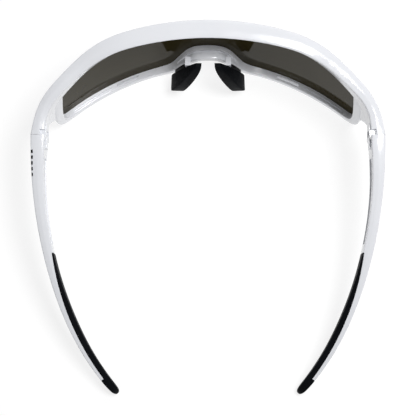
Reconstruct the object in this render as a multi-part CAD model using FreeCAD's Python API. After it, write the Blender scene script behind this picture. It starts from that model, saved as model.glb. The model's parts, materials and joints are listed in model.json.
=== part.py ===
"""Wraparound sport sunglasses: a white full-frame shield with two folding temples.

Millimetres, +Z up. The glasses stand on their lower rim and on the two temple tips.
The front faces -Y and the temples run towards +Y. X = 0 is the plane of symmetry.
Every function builds the +X side, and mirrored() makes the -X side from it.
"""
import FreeCAD, Part
import math
import os

V = FreeCAD.Vector
UP = V(0, 0, 1)

# Front frame in plan: tangent arcs from the middle out, as radius and end angle.
# The last one closes on the hinge, where the outer face runs along the temples.
HALF_WIDTH = 74.9            # from the middle to the outer face of a hinge
FRONT_Y = -78.0
FRONT_ARCS = [(125.0, 17.0), (52.0, 42.0), (120.0, 50.0)]
SEAM_Y = -31.0               # where the frame ends and the temples begin
SEAM_GAP = 0.1

# Shield lens: a leaning cylindrical shell
LENS_RADIUS = 95.0           # of its rear face
LENS_THICKNESS = 1.8
LENS_Y = -72.0               # rear face, in the middle, at the table
LENS_LEAN = 0.07             # forward for every millimetre of height
LENS_BITE = 1.5              # how deep its edge sits in the frame
LENS_PLAY = 0.05

# Brow and hinge end, from the middle out: angle in plan, depth at the top, how much less
# deep it is at the bottom, top height, bottom height
BROW = [
    (0.0, 8.2, 3.5, 56.6, 47.8),
    (6.0, 8.2, 3.3, 56.5, 47.8),
    (12.0, 8.0, 3.0, 56.2, 47.7),
    (18.0, 7.7, 2.5, 55.6, 47.4),
    (26.0, 7.4, 1.9, 54.6, 46.8),
    (34.0, 6.9, 1.4, 53.2, 45.6),
    (42.0, 6.2, 0.9, 51.4, 43.6),
    (48.0, 5.6, 0.5, 49.6, 40.4),
    (54.0, 5.2, 0.2, 48.2, 37.0),
    (63.0, 5.0, 0.0, 47.0, 33.8),
    (74.0, 5.3, 0.0, 46.1, 32.1),
]
ARM_TOP = 45.5
ARM_BOTTOM = 31.5
ARM_THICKNESS = 6.0

# Side, lower rim and nose arch, seen from the front: X, Z, width, and how far the
# section reaches in front of and behind the rear face of the lens
RIM = [
    (64.0, 47.0, 3.6, 1.2, 2.0),
    (65.2, 41.0, 5.4, 1.8, 2.3),
    (66.1, 33.0, 4.9, 2.3, 2.5),
    (66.7, 24.0, 4.3, 2.7, 2.6),
    (67.1, 16.5, 4.1, 3.0, 2.7),
    (67.0, 11.0, 4.1, 3.2, 2.7),
    (65.9, 7.0, 4.3, 3.2, 2.7),
    (63.2, 4.9, 4.4, 3.2, 2.7),
    (59.0, 4.0, 4.3, 3.2, 2.7),
    (54.0, 3.3, 4.2, 3.2, 2.7),
    (46.0, 2.4, 4.2, 3.2, 2.7),
    (38.0, 2.1, 4.2, 3.2, 2.7),
    (30.5, 2.2, 4.2, 3.2, 2.7),
    (24.0, 2.5, 4.2, 3.2, 2.7),
    (18.4, 3.4, 4.2, 3.2, 3.0),
    (14.6, 6.0, 4.2, 3.2, 3.5),
    (12.4, 11.0, 4.2, 3.2, 3.9),
    (9.9, 17.0, 4.2, 3.2, 4.6),
    (7.6, 22.4, 4.2, 3.2, 5.6),
    (5.2, 25.6, 4.2, 3.2, 5.8),
    (0.0, 25.9, 4.2, 3.2, 5.8),
]
EDGE = 1.1                   # rounding of the frame's edges

# Side web: closes the corner between the side and the hinge. Angle in plan, how far its two
# faces are inside the outer face, bottom height
WEB = [
    (52.0, 2.4, 4.5, 9.0),
    (54.5, 2.1, 4.5, 10.5),
    (60.0, 2.0, 4.5, 18.0),
    (66.0, 2.0, 4.6, 25.0),
    (72.0, 2.0, 4.8, 30.0),
    (78.0, 2.0, 4.9, 33.5),
]
WEB_TOP = 39.5

# Groove along the top of the nose arch: behind the lens's rear face, from and to
GROOVE = (1.7, 3.3)
GROOVE_DEPTH = 1.2

# Vent: a slot down through the lower rim, just behind the lens, and a blind channel beside it
VENT_BEHIND = (0.8, 2.0)
VENT = (31.5, 41.2)
CHANNEL = (43.4, 60.5)
CHANNEL_DEPTH = 0.7

# Hinge: frame ear, washer, temple tongue, washer, frame ear, on one upright screw
HINGE_X = 70.9
KNUCKLE_RADIUS = 2.5
KNUCKLE_PLAY = 0.15
LOW_EAR_BOTTOM = 31.8
LOW_EAR_TOP = 35.6
HIGH_EAR_BOTTOM = 41.0
HIGH_EAR_TOP = 44.0
WASHER = 0.3
WASHER_PLAY = 0.05
SCREW_RADIUS = 0.7
SCREW_HEAD = 1.4
SCREW_HEAD_DEPTH = 0.9
BUSH_RADIUS = 1.3
BUSH_BORE = 0.74
INSERT_RADIUS = 1.5
INSERT_LENGTH = 2.6
LUG_LENGTH = 8.5
LUG_BOTTOM = 34.4
LUG_TOP = 43.6
LUG_PROUD = 0.12             # of the knuckles, on the inner side

# Temples: straight from the hinge, then bowed inward
STRAIGHT = 8.0
BOW_ARCS = [(188.0, 20.0), (110.0, 22.6)]    # radius and turn
TIP_HEIGHT = 2.5             # of the middle of the tip
# distance along the outer face, total thickness, height
TEMPLE = [
    (0.0, 6.0, 14.0),
    (4.0, 6.0, 13.8),
    (12.0, 5.4, 12.8),
    (24.0, 4.8, 11.7),
    (38.0, 4.5, 10.8),
    (52.0, 4.4, 10.2),
    (64.0, 4.4, 9.7),
    (76.0, 4.6, 9.2),
    (88.0, 4.5, 8.8),
    (98.0, 4.2, 8.5),
    (108.4, 3.9, 8.3),
    (114.0, 3.7, 7.9),
    (116.4, 2.9, 5.6),
    (116.9, 1.1, 1.8),
]
GRIP_START = 50.0            # along the outer face
GRIP_END = 108.4             # where the white arm stops
ARM_AT_START = 3.9           # thickness of the white arm there
ARM_AT_MIDDLE = 2.3
ARM_AT_END = 1.5
RECESS = (9.0, 46.0)         # shallow pocket along the inner side
RECESS_DEPTH = 0.5

# Tabs under the ends of the nose arch, in front of the pads: low and high corner
TAB = ((7.7, -69.5, 20.9), (10.1, -65.6, 25.8))

# Nose pads: level cuts from the top down: height, centre X and Y, thickness, length
PAD = [
    (30.8, 4.1, -65.0, 2.6, 3.0),
    (29.6, 4.7, -64.7, 3.6, 4.6),
    (25.5, 6.6, -63.9, 4.6, 6.4),
    (20.0, 9.1, -63.0, 5.2, 8.0),
    (14.5, 11.7, -62.3, 5.8, 8.8),
    (9.5, 13.4, -62.0, 6.2, 8.4),
    (7.4, 13.8, -62.0, 5.8, 7.6),
    (6.4, 14.0, -62.0, 4.6, 6.4),
]
PAD_SPLAY = 2.0              # of the wings in plan

# Nose pad clips: a bar on two pegs of the frame, with a blade inside the rubber
CLIP_TOP = (9.4, 20.2)
CLIP_FOOT = (13.6, 9.8)
CLIP_WIDTH = 2.6
CLIP_Y = (-67.4, -65.4)
BLADE_THICKNESS = 1.2
BLADE_REACH = 4.5
PEG_RADIUS = 0.7
PEG_END = -66.0


def loop(at, across, up, box, radius, crown=0.0, undercut=0.0):
    """Sixteen control points of a rounded rectangle around a point."""
    left, right, low, high = box
    corners = [(right, high), (left, high), (left + undercut, low), (right, low)]
    middles = [((left + right) / 2, high + crown), (left + undercut / 2, (low + high) / 2)]
    middles += [((left + right) / 2, low), (right, (low + high) / 2)]
    flat = []
    for i, corner in enumerate(corners):
        flat += [towards(corner, corners[i - 1], radius), corner]
        flat += [towards(corner, corners[(i + 1) % 4], radius), middles[i]]
    return [at + across * a + up * b for a, b in flat]


def towards(start, end, distance):
    length = math.hypot(end[0] - start[0], end[1] - start[1])
    step = min(distance / length, 0.45)
    return (start[0] + (end[0] - start[0]) * step, start[1] + (end[1] - start[1]) * step)


def skin(loops):
    """Solid with a smooth side through closed loops, and flat ends."""
    rows, columns = len(loops), len(loops[0])
    along = [float(i) for i in range(rows - 2)]
    around = [float(i) for i in range(columns + 1)]
    side = Part.BSplineSurface()
    side.buildFromPolesMultsKnots(
        loops, [4] + [1] * (rows - 4) + [4], [1] * (columns + 1), along, around, False, True, 3, 3
    )
    faces, rims = [], ([], [])
    for start in range(0, columns, columns // 4):
        patch = side.copy()
        patch.segment(along[0], along[-1], start, start + columns // 4)
        faces.append(patch.toShape())
        for edges, u in zip(rims, (along[0], along[-1])):
            edges.append(patch.uIso(u).toShape())
    faces += [Part.Face(Part.Wire(edges)) for edges in rims]
    return outward(Part.Solid(Part.Shell(faces)))


def both_sides(loops):
    """The loops of the +X side, and their mirror images past the one on X = 0."""
    mirror = [[V(-p.x, p.y, p.z) for p in row] for row in loops]
    return loops + mirror[-2::-1]


def outward(solid):
    if solid.Volume < 0:
        solid.reverse()
    return solid


def mirrored(shape):
    return shape.mirror(V(0, 0, 0), V(1, 0, 0))


def box_between(low, high):
    return Part.makeBox(high[0] - low[0], high[1] - low[1], high[2] - low[2], V(*low))


def upright(radius, bottom, top, x=HINGE_X, y=SEAM_Y):
    return Part.makeCylinder(radius, top - bottom, V(x, y, bottom))


def ring(outer, inner, bottom, top):
    return upright(outer, bottom, top).cut(upright(inner, bottom - 1, top + 1))


def outward_way(angle):
    """Level direction: 0 points to the front, 90 to the side."""
    return V(math.sin(math.radians(angle)), -math.cos(math.radians(angle)), 0)


def front_plan(angle):
    """Point on the outer face of the front, where it faces a given way."""
    point = V(0, FRONT_Y, 0)
    start = 0.0
    for radius, end in FRONT_ARCS:
        stop = min(end, angle)
        point = point + (outward_way(stop) - outward_way(start)) * radius
        start = stop
    if angle > start:
        radius = (HALF_WIDTH - point.x) / (1 - outward_way(start).x)
        point = point + (outward_way(angle) - outward_way(start)) * radius
    return point


def lens_point(x, z):
    """Point on the rear face of the lens, or on its extension."""
    return V(x, LENS_Y - LENS_LEAN * z + LENS_RADIUS - math.sqrt(LENS_RADIUS**2 - x * x), z)


def lens_normal(x):
    return V(x / LENS_RADIUS, -math.sqrt(1 - (x / LENS_RADIUS) ** 2), 0)


def rim_frame(i):
    """Middle of a rim station, with its outward directions along and across the lens."""
    before = lens_point(*RIM[max(i - 1, 0)][:2])
    after = lens_point(*RIM[min(i + 1, len(RIM) - 1)][:2])
    run = (after - before).normalize()
    if i == len(RIM) - 1:
        run = V(-1, 0, 0)
    normal = lens_normal(RIM[i][0])
    edge_way = normal.cross(run).normalize()
    return lens_point(*RIM[i][:2]), edge_way, normal


def brow_and_arm():
    loops = []
    for angle, depth, undercut, top, bottom in BROW:
        box = (-depth, 0, bottom, top)
        at, way = front_plan(angle), outward_way(angle)
        loops.append(loop(at, way, UP, box, EDGE + 0.5, 0.5, undercut))
    box = (-ARM_THICKNESS, 0, ARM_BOTTOM, ARM_TOP)
    loops.append(loop(V(HALF_WIDTH, SEAM_Y, 0), outward_way(90), UP, box, EDGE + 0.5, 0.3))
    return skin(both_sides(loops[::-1]))


def rim():
    loops = []
    for i, (_, _, width, front, rear) in enumerate(RIM):
        at, edge_way, normal = rim_frame(i)
        box = (-width / 2, width / 2, -rear, front)
        loops.append(loop(at, edge_way, normal, box, EDGE))
    return skin(both_sides(loops))


def side_web():
    loops = []
    for angle, near, far, bottom in WEB:
        at, way = front_plan(angle), outward_way(angle)
        loops.append(loop(at, way, UP, (-far, -near, bottom, WEB_TOP), 0.9))
    return skin(loops)


def lens_outline(play=0.0):
    """Closed wire of the lens seen from the front, on the plane Y = 0."""
    bite = LENS_BITE + play
    points = [V(front_plan(row[0]).x, 0, row[4] + bite) for row in BROW[:7]]
    side = len(points) + 2
    for i in range(1, len(RIM)):
        at, edge_way, _ = rim_frame(i)
        edge = at - edge_way * (RIM[i][2] / 2 - bite)
        points.append(V(edge.x, 0, edge.z))
    down = (points[side + 1] - points[side - 1]).normalize()
    edges = [smooth_edge(points[:side + 1], V(1, 0, 0), down)]
    edges.append(smooth_edge(points[side:], down, V(-1, 0, 0)))
    edges += [mirrored(edge) for edge in edges]
    return Part.Wire(Part.__sortEdges__(edges))


def smooth_edge(points, first_way, last_way):
    curve = Part.BSplineCurve()
    curve.interpolate(Points=points, InitialTangent=first_way, FinalTangent=last_way)
    return curve.toShape()


def lens_shell(inner, outer):
    """Leaning cylindrical shell between two distances in front of the rear face."""
    lean_way = V(0, -LENS_LEAN, 1)
    low = V(0, LENS_Y + LENS_RADIUS, 0) - lean_way * 20
    shell = Part.makeCylinder(LENS_RADIUS + outer, 110, low, lean_way)
    return shell.cut(Part.makeCylinder(LENS_RADIUS + inner, 110, low, lean_way))


def lens(play=0.0):
    outline = Part.Face(lens_outline(play))
    window = outline.extrude(V(0, -110, 0))
    return window.common(lens_shell(-play, LENS_THICKNESS + play)).Solids[0]


def groove_loop(i, depth, behind):
    """Section of a groove in the rim's inner edge, between two distances behind the lens."""
    at, edge_way, normal = rim_frame(i)
    floor = depth - RIM[i][2] / 2
    return loop(at, edge_way, normal, (floor - 3.0, floor, -behind[1], -behind[0]), 0.4)


def arch_groove():
    """Groove along the top of the nose arch, running out on its flanks."""
    first = len(RIM) - 6
    loops = []
    for i in range(first, len(RIM)):
        loops.append(groove_loop(i, GROOVE_DEPTH * min((i - first - 1) / 2, 1.0), GROOVE))
    return skin(both_sides(loops))


def vent():
    slot_ring = lens_shell(-VENT_BEHIND[1], -VENT_BEHIND[0])
    return slot_ring.common(box_between((VENT[0], -90, -5), (VENT[1], 0, 9.5)))


def channel():
    """Blind channel that carries on the line of the vent towards the side."""
    groove = skin([groove_loop(i, CHANNEL_DEPTH, VENT_BEHIND) for i in range(6, 13)])
    return groove.common(box_between((CHANNEL[0], -90, -5), (CHANNEL[1], 0, 9.5)))


def lug():
    """Swelling on the inner side that carries the ears, tapered towards the front."""
    inner = HINGE_X - KNUCKLE_RADIUS - LUG_PROUD
    front = SEAM_Y - LUG_LENGTH
    plan = [(inner, SEAM_Y), (inner, front + 3.5), (inner + 2, front), (HINGE_X, front), (HINGE_X, SEAM_Y)]
    wire = Part.makePolygon([V(x, y, LUG_BOTTOM) for x, y in plan + plan[:1]])
    return Part.Face(wire).extrude(V(0, 0, LUG_TOP - LUG_BOTTOM))


def ear_post():
    """Both ears in one piece, before the slot for the tongue is cut."""
    return upright(KNUCKLE_RADIUS, LOW_EAR_BOTTOM, HIGH_EAR_TOP)


def frame_hinge_spaces():
    """Seats for screw and insert, the tongue's slot, and room for the folded temple's root."""
    head_seat = upright(SCREW_HEAD + 0.1, ARM_BOTTOM - 1, LOW_EAR_BOTTOM + SCREW_HEAD_DEPTH + 0.1)
    screw_hole = upright(SCREW_RADIUS + 0.05, ARM_BOTTOM - 1, HIGH_EAR_TOP - 0.3)
    insert_seat = upright(INSERT_RADIUS, HIGH_EAR_BOTTOM - 0.5, HIGH_EAR_BOTTOM + INSERT_LENGTH)
    reach = KNUCKLE_RADIUS + KNUCKLE_PLAY
    low = (HINGE_X - 4, SEAM_Y - reach, LOW_EAR_TOP)
    fold_room = box_between(low, (HINGE_X, SEAM_Y + 1, HIGH_EAR_BOTTOM))
    slot = upright(reach, LOW_EAR_TOP, HIGH_EAR_BOTTOM).fuse(fold_room)
    low = (HINGE_X - 4, SEAM_Y - 2.2, HIGH_EAR_TOP)
    corner = box_between(low, (HINGE_X, SEAM_Y + 4, ARM_TOP + 2))
    return [head_seat, screw_hole, insert_seat, slot, corner]


def clip_line(share):
    """Point along the bar of a nose pad clip, from its top to its foot."""
    x, z = [top + (foot - top) * share for top, foot in zip(CLIP_TOP, CLIP_FOOT)]
    return V(x, 0, z)


def pegs():
    made = []
    for share in (0.22, 0.78):
        start = clip_line(share) + V(0, CLIP_Y[0] - 2.0, 0)
        made.append(Part.makeCylinder(PEG_RADIUS, PEG_END - start.y, start, V(0, 1, 0)))
    return made


def front_frame():
    frame = brow_and_arm().fuse(rim())
    for piece in [side_web(), lug(), ear_post(), box_between(*TAB)] + pegs():
        frame = frame.fuse([piece, mirrored(piece)])
    frame = frame.cut(lens(LENS_PLAY)).cut(arch_groove())
    for space in [vent(), channel()] + frame_hinge_spaces():
        frame = frame.cut([space, mirrored(space)])
    return frame


def temple_point(distance):
    """Point on the temple's outer face in plan, and the outward direction there."""
    angle = 90.0
    point = V(HALF_WIDTH, SEAM_Y + SEAM_GAP + min(distance, STRAIGHT), 0)
    left = distance - STRAIGHT
    for radius, turn in BOW_ARCS:
        step = min(max(math.degrees(left / radius), 0.0), turn)
        point = point + (outward_way(angle + step) - outward_way(angle)) * radius
        angle += step
        left -= math.radians(turn) * radius
    return point, outward_way(angle)


def temple_size(distance):
    """Thickness and height between the rows of the table."""
    for before, after in zip(TEMPLE, TEMPLE[1:]):
        if distance <= after[0]:
            share = (distance - before[0]) / (after[0] - before[0])
            return [a + (b - a) * share for a, b in zip(before[1:], after[1:])]
    return TEMPLE[-1][1:]


def temple_height(distance):
    """Height of the temple's middle: level at the hinge, dropping ever more steeply."""
    start = (ARM_TOP + ARM_BOTTOM) / 2
    return start - (start - TIP_HEIGHT) * (distance / TEMPLE[-1][0]) ** 1.5


def temple_body():
    """Whole outer shape of a temple, arm and grip together."""
    loops = []
    for distance, thick, high in TEMPLE:
        at, way = temple_point(distance)
        middle = temple_height(distance)
        inset = max(0.0, (4.0 - thick) / 2) if distance > GRIP_END else 0.0
        box = (-thick - inset, -inset, middle - high / 2, middle + high / 2)
        loops.append(loop(at, way, UP, box, min(1.6, thick * 0.32), 0.3))
    return skin(loops)


def grip_space():
    """Upright block over the inner side and the tip, where the rubber grip goes."""
    near, near_way = temple_point(GRIP_START)
    middle, middle_way = temple_point((GRIP_START + GRIP_END) / 2)
    far, far_way = temple_point(GRIP_END)
    start = near - near_way * ARM_AT_START
    bend = middle - middle_way * ARM_AT_MIDDLE
    end = far - far_way * ARM_AT_END
    tip = V(-far_way.y, far_way.x, 0)
    outline = [Part.Arc(start, bend, end).toShape()]
    corners = [end, far + far_way * 4, far + far_way * 4 + tip * 20, far - far_way * 14 + tip * 20]
    corners += [start - near_way * 10, start]
    for a, b in zip(corners, corners[1:]):
        outline.append(Part.makeLine(a, b))
    return Part.Face(Part.Wire(outline)).extrude(V(0, 0, 60))


def recess():
    """Shallow pocket along the inner side of the arm."""
    start, end = RECESS
    loops = []
    for i in range(6):
        distance = start + (end - start) * i / 5
        at, way = temple_point(distance)
        thick, high = temple_size(distance)
        middle = temple_height(distance)
        box = (-thick - 2, RECESS_DEPTH - thick, middle - high * 0.27, middle + high * 0.27)
        loops.append(loop(at, way, UP, box, 0.8))
    return skin(loops)


def temple_hinge_space():
    """Room in the temple for the two ears and the washers."""
    radius = KNUCKLE_RADIUS + KNUCKLE_PLAY
    tongue_bottom = LOW_EAR_TOP + WASHER + WASHER_PLAY
    tongue_top = HIGH_EAR_BOTTOM - WASHER - WASHER_PLAY
    spaces = []
    for bottom, top in ((ARM_BOTTOM - 1, tongue_bottom), (tongue_top, HIGH_EAR_TOP + 0.15)):
        spaces.append(upright(radius, bottom, top))
        low = (HINGE_X - 4, SEAM_Y - 1, bottom)
        spaces.append(box_between(low, (HINGE_X, SEAM_Y + 3.3, top)))
    return spaces[0].fuse(spaces[1:])


def tongue():
    bottom = LOW_EAR_TOP + WASHER + WASHER_PLAY
    top = HIGH_EAR_BOTTOM - WASHER - WASHER_PLAY
    knuckle = upright(KNUCKLE_RADIUS, bottom, top)
    low = (HINGE_X - KNUCKLE_RADIUS, SEAM_Y, bottom)
    root = box_between(low, (HINGE_X + 1, SEAM_Y + 5.0, top))
    return knuckle.fuse(root).cut(upright(BUSH_RADIUS, bottom - 1, top + 1))


def temple_and_grip():
    body = temple_body()
    grip = body.common(grip_space())
    bush_bore = upright(BUSH_RADIUS, ARM_BOTTOM - 1, HIGH_EAR_TOP - 1)
    arm = body.cut([grip_space(), recess(), temple_hinge_space(), bush_bore])
    return arm.fuse(tongue()), grip


def hinge_metal():
    """The screw, its threaded insert, the bush and the two washers of one hinge."""
    head_bottom = LOW_EAR_BOTTOM + 0.05
    head_top = head_bottom + SCREW_HEAD_DEPTH
    head = upright(SCREW_HEAD, head_bottom, head_top)
    shank = upright(SCREW_RADIUS, head_top, HIGH_EAR_TOP - 0.5)
    slot = box_between(
        (HINGE_X - 2, SEAM_Y - 0.2, head_bottom - 1), (HINGE_X + 2, SEAM_Y + 0.2, head_bottom + 0.4)
    )
    insert_top = HIGH_EAR_BOTTOM + INSERT_LENGTH
    bush_bottom = LOW_EAR_TOP + WASHER + WASHER_PLAY
    bush_top = HIGH_EAR_BOTTOM - WASHER - WASHER_PLAY
    return {
        "hinge_screw": head.fuse(shank).cut(slot),
        "hinge_insert": ring(INSERT_RADIUS, SCREW_RADIUS, HIGH_EAR_BOTTOM, insert_top),
        "hinge_bush": ring(BUSH_RADIUS, BUSH_BORE, bush_bottom, bush_top),
        "hinge_washer_lower": ring(2.2, BUSH_BORE, LOW_EAR_TOP, LOW_EAR_TOP + WASHER),
        "hinge_washer_upper": ring(2.2, BUSH_BORE, HIGH_EAR_BOTTOM - WASHER, HIGH_EAR_BOTTOM),
    }


def nose_clip():
    """Bar along the nose flange, with two peg holes and a blade that runs into the pad."""
    run = (clip_line(1) - clip_line(0)).normalize()
    side = V(run.z, 0, -run.x)
    half = side * (CLIP_WIDTH / 2)
    corners = [clip_line(0) - half, clip_line(0) + half, clip_line(1) + half, clip_line(1) - half]
    bar = plate(corners, CLIP_Y[0], CLIP_Y[1])
    half = side * (BLADE_THICKNESS / 2)
    ends = [clip_line(0.15), clip_line(0.85)]
    corners = [ends[0] - half, ends[0] + half, ends[1] + half, ends[1] - half]
    clip = bar.fuse(plate(corners, CLIP_Y[1] - 0.5, CLIP_Y[1] + BLADE_REACH))
    return clip.cut(pegs())


def plate(corners, front, rear):
    """Upright plate with the given corners, between two distances from the middle."""
    wire = Part.makePolygon([c + V(0, front, 0) for c in corners + corners[:1]])
    return Part.Face(wire).extrude(V(0, rear - front, 0))


def nose_pad():
    """Rubber wing: thin, tall, splayed outward towards its foot."""
    along = outward_way(180 - PAD_SPLAY)
    across = V(along.y, -along.x, 0)
    loops = []
    for height, x, y, thick, length in PAD:
        box = (-thick / 2, thick / 2, -length / 2, length / 2)
        loops.append(loop(V(x, y, height), across, along, box, 0.9))
    in_front = box_between((0, -90, 0), (30, CLIP_Y[1], 60))
    return skin(loops).cut([in_front, nose_clip()])


def build():
    parts = {"front_frame": front_frame(), "lens": lens()}
    parts["nose_pad_left"] = nose_pad()
    parts["nose_pad_clip_left"] = nose_clip()
    arm, grip = temple_and_grip()
    parts["temple_left"] = arm
    parts["temple_grip_left"] = grip
    for name, shape in hinge_metal().items():
        parts[name + "_left"] = shape
    for name in [n for n in parts if n.endswith("_left")]:
        parts[name.replace("_left", "_right")] = mirrored(parts[name])
    return parts


os.makedirs("parts", exist_ok=True)
for name, shape in build().items():
    shape.exportStep("parts/%s.step" % name)
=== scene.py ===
"""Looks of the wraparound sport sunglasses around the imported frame: materials, studio and camera."""
import json
import math

import bpy
from mathutils import Matrix, Vector


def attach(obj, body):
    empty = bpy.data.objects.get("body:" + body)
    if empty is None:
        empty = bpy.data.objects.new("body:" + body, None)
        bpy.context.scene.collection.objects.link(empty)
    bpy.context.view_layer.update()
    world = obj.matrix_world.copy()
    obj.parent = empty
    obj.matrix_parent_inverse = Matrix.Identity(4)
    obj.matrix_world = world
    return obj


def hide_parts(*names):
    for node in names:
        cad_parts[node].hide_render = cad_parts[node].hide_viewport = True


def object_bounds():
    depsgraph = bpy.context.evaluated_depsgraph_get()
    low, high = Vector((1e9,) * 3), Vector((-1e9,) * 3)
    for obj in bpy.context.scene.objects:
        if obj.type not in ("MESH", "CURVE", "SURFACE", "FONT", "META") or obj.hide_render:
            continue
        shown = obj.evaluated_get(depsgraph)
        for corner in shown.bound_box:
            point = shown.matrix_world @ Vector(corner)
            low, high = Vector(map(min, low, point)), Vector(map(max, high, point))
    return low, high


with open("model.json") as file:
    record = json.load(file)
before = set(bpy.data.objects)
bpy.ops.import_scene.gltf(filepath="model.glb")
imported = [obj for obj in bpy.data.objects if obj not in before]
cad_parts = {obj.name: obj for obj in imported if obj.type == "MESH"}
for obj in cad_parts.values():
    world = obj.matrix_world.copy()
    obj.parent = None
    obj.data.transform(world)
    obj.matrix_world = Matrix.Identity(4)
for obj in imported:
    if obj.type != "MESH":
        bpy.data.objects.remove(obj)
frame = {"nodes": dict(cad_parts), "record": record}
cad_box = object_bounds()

NODES = frame["nodes"]

# Plain ticks printed high on the outer side of the left temple, in metres
TICKS_START = -0.0246        # along the temple
TICK_PITCH = 0.0024
TICK_SHARE = 0.6             # of the pitch that is printed
TICK_COUNT = 5.0
TICKS_ABOVE = 0.0405
TICKS_OUTSIDE = 0.0738
TICK_COLOUR = (0.015, 0.015, 0.017)

# The rear face of the lens is bare, and the mirror coat starts where its normal turns forward
MIRROR_FULL = -0.35          # Y of the normal
MIRROR_NONE = -0.25
MIRROR_METAL = 0.92
LENS_TOP = 0.05              # height at which the mirror's colours end

# Edge rounding of the rubber: size of the remesh and rounds of smoothing
PAD_VOXEL = 0.0002
PAD_ROUNDS = 3
GRIP_VOXEL = 0.00022
GRIP_ROUNDS = 2

# Studio, in metres and watts
FLOOR_SIZE = 30.0
FLOOR_GLOW = 0.8
WORLD_STRENGTH = 0.2
LIGHT_TARGET = (0.0, 0.0, 0.02)
LIGHTS = {                   # place, width, power
    "key": ((-0.23, -0.06, 0.79), 0.3, 4.8),
    "fill": ((-0.1, -0.7, 0.5), 0.6, 0.8),
}
WHITE = (1.0, 1.0, 1.0, 1.0)

CAMERA_TARGET = (0.0, -0.0025, 0.025)
CAMERA_TILT = math.radians(8.0)      # back from straight down
CAMERA_DISTANCE = 0.6
CAMERA_LENS = 119.93                 # mm, on a sensor 36 mm wide


# ---- materials -------------------------------------------------------------------------------

class Shader:
    """A new material with one Principled shader, and short ways to add nodes to it."""

    def __init__(self, name, **values):
        self.material = bpy.data.materials.new(name)
        self.material.use_nodes = True
        self.tree = self.material.node_tree
        self.bsdf = self.tree.nodes["Principled BSDF"]
        for key, value in values.items():
            self.bsdf.inputs[key.replace("_", " ")].default_value = value
        self.coordinates = self.add("ShaderNodeTexCoord")

    def add(self, kind, inputs=None, **settings):
        """A new node. An input is a value, or the output of another node to link."""
        node = self.tree.nodes.new(kind)
        for key, value in settings.items():
            setattr(node, key, value)
        for key, value in (inputs or {}).items():
            if isinstance(value, bpy.types.NodeSocket):
                self.tree.links.new(value, node.inputs[key])
            else:
                node.inputs[key].default_value = value
        return node

    def maths(self, operation, first, second):
        return self.add("ShaderNodeMath", {0: first, 1: second}, operation=operation).outputs[0]

    def axes(self, space):
        """X, Y and Z of the object's coordinates or of its normal."""
        vector = self.coordinates.outputs[space]
        return self.add("ShaderNodeSeparateXYZ", {"Vector": vector}).outputs

    def noise(self, scale, detail=2.0, roughness=0.5, distortion=0.0):
        inputs = {"Vector": self.coordinates.outputs["Object"], "Scale": scale, "Detail": detail}
        inputs.update({"Roughness": roughness, "Distortion": distortion})
        return self.add("ShaderNodeTexNoise", inputs).outputs["Fac"]

    def spread(self, value, low, high, start=0.3, end=0.7):
        """A value between start and end, spread over low to high."""
        inputs = {"Value": value, "From Min": start, "From Max": end, "To Min": low, "To Max": high}
        return self.add("ShaderNodeMapRange", inputs).outputs["Result"]

    def colours(self, factor, stops):
        ramp = self.add("ShaderNodeValToRGB", {"Fac": factor})
        elements = ramp.color_ramp.elements
        while len(elements) < len(stops):
            elements.new(0.5)
        for element, (place, colour) in zip(elements, stops):
            element.position = place
            element.color = (*colour, 1.0)
        return ramp.outputs["Color"]

    def mix(self, factor, first, second):
        """Colour between two others, each the output of a node or three numbers."""
        node = self.add("ShaderNodeMix", data_type="RGBA")
        self.tree.links.new(factor, node.inputs[0])
        for socket, value in ((6, first), (7, second)):
            if isinstance(value, bpy.types.NodeSocket):
                self.tree.links.new(value, node.inputs[socket])
            else:
                node.inputs[socket].default_value = (*value, 1.0)
        return node.outputs[2]

    def bump(self, heights):
        """Bumps one over the other: pairs of a height and its depth in metres."""
        normal = None
        for height, depth in heights:
            inputs = {"Height": height, "Strength": 1.0, "Distance": depth}
            if normal is not None:
                inputs["Normal"] = normal
            normal = self.add("ShaderNodeBump", inputs).outputs["Normal"]
        self.link("Normal", normal)

    def link(self, key, socket):
        self.tree.links.new(socket, self.bsdf.inputs[key])


def white_plastic(name, ticks=False):
    """Glossy white moulded nylon: faint flow lines, mottling and orange peel."""
    made = Shader(name, IOR=1.47, Coat_Weight=0.25, Coat_Roughness=0.04)
    flow = made.noise(55.0, 3.0, 0.55, 1.2)
    colour = made.colours(flow, [(0.3, (0.815, 0.828, 0.868)), (0.7, (0.832, 0.845, 0.88))])
    if ticks:
        colour = made.mix(printed_ticks(made), colour, TICK_COLOUR)
    made.link("Base Color", colour)
    made.link("Roughness", made.spread(made.noise(160.0, 3.0), 0.13, 0.19))
    made.bump([(made.noise(110.0, 1.0), 0.000004), (made.noise(700.0, 1.0), 0.0000002)])
    return made.material


def printed_ticks(made):
    """Where the row of ticks is printed: 1 on a tick, else 0."""
    place = made.axes("Object")
    count = made.maths("DIVIDE", made.maths("SUBTRACT", place["Y"], TICKS_START), TICK_PITCH)
    limits = [
        ("LESS_THAN", made.maths("FRACT", count, 0.0), TICK_SHARE),
        ("GREATER_THAN", count, 0.0),
        ("LESS_THAN", count, TICK_COUNT),
        ("GREATER_THAN", place["Z"], TICKS_ABOVE),
        ("GREATER_THAN", place["X"], TICKS_OUTSIDE),
    ]
    inside = made.maths(*limits[0])
    for limit in limits[1:]:
        inside = made.maths("MULTIPLY", inside, made.maths(*limit))
    return inside


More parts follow.
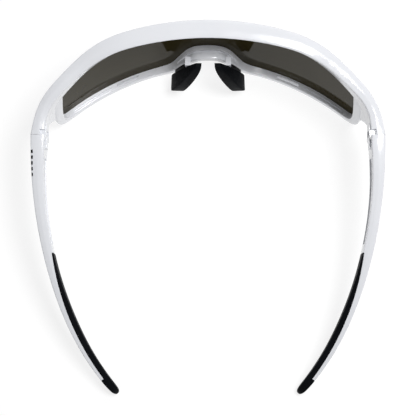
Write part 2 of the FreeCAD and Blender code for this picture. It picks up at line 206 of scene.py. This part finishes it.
def tinted_lens():
    """Dark olive polycarbonate, with a silver-violet mirror coat on the face that looks forward."""
    made = Shader("tinted_lens", IOR=1.09)
    front = made.spread(made.axes("Normal")["Y"], 1.0, 0.0, MIRROR_FULL, MIRROR_NONE)
    clouds = made.noise(30.0, 2.0, 0.5, 0.6)
    height = made.spread(made.axes("Object")["Z"], 0.0, 0.75, 0.0, LENS_TOP)
    mirror = made.colours(
        made.maths("ADD", height, made.spread(clouds, 0.0, 0.25)),
        [(0.0, (0.36, 0.40, 0.55)), (0.45, (0.42, 0.36, 0.55)), (1.0, (0.50, 0.47, 0.52))],
    )
    tint = made.colours(clouds, [(0.3, (0.029, 0.023, 0.008)), (0.7, (0.036, 0.029, 0.012))])
    made.link("Base Color", made.mix(front, tint, mirror))
    made.link("Metallic", made.spread(front, 0.0, MIRROR_METAL, 0.0, 1.0))
    made.link("Roughness", made.spread(made.noise(140.0, 5.0, 0.6), 0.03, 0.075))
    made.bump([(made.noise(45.0, 1.0), 0.00001)])
    return made.material


def soft_rubber():
    """Black rubber with a fine stipple and a dusty bloom."""
    made = Shader("soft_rubber", IOR=1.13, Sheen_Weight=0.008, Sheen_Roughness=0.4)
    bloom = made.noise(90.0, 4.0, 0.6)
    black = made.colours(bloom, [(0.3, (0.0025, 0.003, 0.004)), (0.75, (0.006, 0.007, 0.009))])
    made.link("Base Color", black)
    made.link("Roughness", made.spread(made.noise(700.0, 3.0), 0.5, 0.68))
    stipple = made.noise(2600.0, 2.0, 0.7)
    made.bump([(made.noise(260.0), 0.00002), (stipple, 0.00002)])
    return made.material


def black_nylon():
    """Black glass-filled nylon with spark-eroded grain."""
    made = Shader("black_nylon", IOR=1.3)
    mottle = made.noise(160.0, 3.0)
    black = made.colours(mottle, [(0.3, (0.006, 0.006, 0.007)), (0.7, (0.012, 0.012, 0.014))])
    made.link("Base Color", black)
    made.link("Roughness", made.spread(made.noise(1500.0, 3.0), 0.36, 0.5))
    made.bump([(made.noise(3200.0, 2.0, 0.65), 0.00001)])
    return made.material


def turned_metal(name, dark, light, roughness):
    """Lathe-turned metal: fine rings round the hinge axis and slight staining."""
    made = Shader(name, Metallic=1.0)
    stain = made.noise(900.0, 4.0)
    made.link("Base Color", made.colours(stain, [(0.3, dark), (0.7, light)]))
    scaled = {0: made.coordinates.outputs["Object"], 1: (60.0, 60.0, 9000.0)}
    stretched = made.add("ShaderNodeVectorMath", scaled, operation="MULTIPLY").outputs[0]
    inputs = {"Vector": stretched, "Scale": 1.0, "Detail": 2.0}
    rings = made.add("ShaderNodeTexNoise", inputs).outputs["Fac"]
    made.link("Roughness", made.spread(rings, roughness, roughness + 0.16))
    made.bump([(rings, 0.000006)])
    return made.material


LOOKS = {
    "frame_plastic": white_plastic("white_plastic"),
    "lens_tint": tinted_lens(),
    "soft_rubber": soft_rubber(),
    "clip_plastic": black_nylon(),
    "steel": turned_metal("turned_steel", (0.50, 0.50, 0.51), (0.62, 0.62, 0.63), 0.2),
    "brass": turned_metal("turned_brass", (0.60, 0.44, 0.20), (0.72, 0.55, 0.27), 0.24),
}


def cover(node, material):
    for material_slot in NODES[node].material_slots:
        material_slot.material = material


for part in frame["record"]["subparts"]:
    cover(part["node"], LOOKS[part["material_slot"]])
cover("temple_left", white_plastic("white_plastic_with_bars", ticks=True))


# ---- moulded rubber --------------------------------------------------------------------------

def moulded(name, body, voxel, rounds):
    """A rubber part as it leaves its mould: the same shape with softly rounded edges."""
    rough = bpy.data.objects.new(name + "_rough", NODES[name].data.copy())
    bpy.context.scene.collection.objects.link(rough)
    remesh = rough.modifiers.new("remesh", "REMESH")
    remesh.mode = "VOXEL"
    remesh.voxel_size = voxel
    relax = rough.modifiers.new("relax", "SMOOTH")
    relax.factor = 0.5
    relax.iterations = rounds
    evaluated = rough.evaluated_get(bpy.context.evaluated_depsgraph_get())
    mesh = bpy.data.meshes.new_from_object(evaluated)
    bpy.data.objects.remove(rough)
    mesh.shade_smooth()
    mesh.materials.clear()
    mesh.materials.append(LOOKS["soft_rubber"])
    piece = bpy.data.objects.new(name + "_moulded", mesh)
    bpy.context.scene.collection.objects.link(piece)
    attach(piece, body)
    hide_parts(name)


for side in ("left", "right"):
    moulded("nose_pad_" + side, "front", PAD_VOXEL, PAD_ROUNDS)
    moulded("temple_grip_" + side, side + "_temple", GRIP_VOXEL, GRIP_ROUNDS)


# ---- studio ----------------------------------------------------------------------------------

def floor(level):
    """Large pale floor that glows a little, so that shadows stay faint."""
    made = Shader("pale_floor", Roughness=0.9)
    stops = [(0.3, (0.235, 0.235, 0.235)), (0.7, (0.245, 0.245, 0.245))]
    made.link("Base Color", made.colours(made.noise(14.0), stops))
    made.bsdf.inputs["Emission Color"].default_value = WHITE
    made.bsdf.inputs["Emission Strength"].default_value = FLOOR_GLOW
    bpy.ops.mesh.primitive_plane_add(size=FLOOR_SIZE, location=(0, 0, level))
    plane = bpy.context.object
    plane.name = "floor"
    plane.data.materials.append(made.material)


def area_light(name, place, size, power):
    lamp = bpy.data.lights.new(name, "AREA")
    lamp.shape = "DISK"
    lamp.size = size
    lamp.energy = power
    holder = bpy.data.objects.new(name, lamp)
    holder.location = place
    way = Vector(LIGHT_TARGET) - Vector(place)
    holder.rotation_euler = way.to_track_quat("-Z", "Y").to_euler()
    bpy.context.scene.collection.objects.link(holder)


def studio(level):
    floor(level)
    world = bpy.data.worlds.new("studio")
    world.use_nodes = True
    background = world.node_tree.nodes["Background"]
    background.inputs["Color"].default_value = WHITE
    background.inputs["Strength"].default_value = WORLD_STRENGTH
    bpy.context.scene.world = world
    for name, (place, size, power) in LIGHTS.items():
        area_light(name, place, size, power)
    bpy.context.scene.view_settings.view_transform = "Standard"


def camera():
    """Looks down from above and slightly from behind, with the brow at the top of the picture."""
    back = Vector((0, math.sin(CAMERA_TILT), math.cos(CAMERA_TILT)))
    up = Vector((0, -math.cos(CAMERA_TILT), math.sin(CAMERA_TILT)))
    right = up.cross(back)
    turn = Matrix((right, up, back)).transposed().to_4x4()
    place = Vector(CAMERA_TARGET) + back * CAMERA_DISTANCE
    eye = bpy.data.objects.new("camera", bpy.data.cameras.new("camera"))
    eye.data.lens = CAMERA_LENS
    eye.data.sensor_width = 36.0
    eye.data.clip_start = 0.01
    eye.matrix_world = Matrix.Translation(place) @ turn
    bpy.context.scene.collection.objects.link(eye)
    bpy.context.scene.camera = eye


studio(cad_box[0][2])
camera()
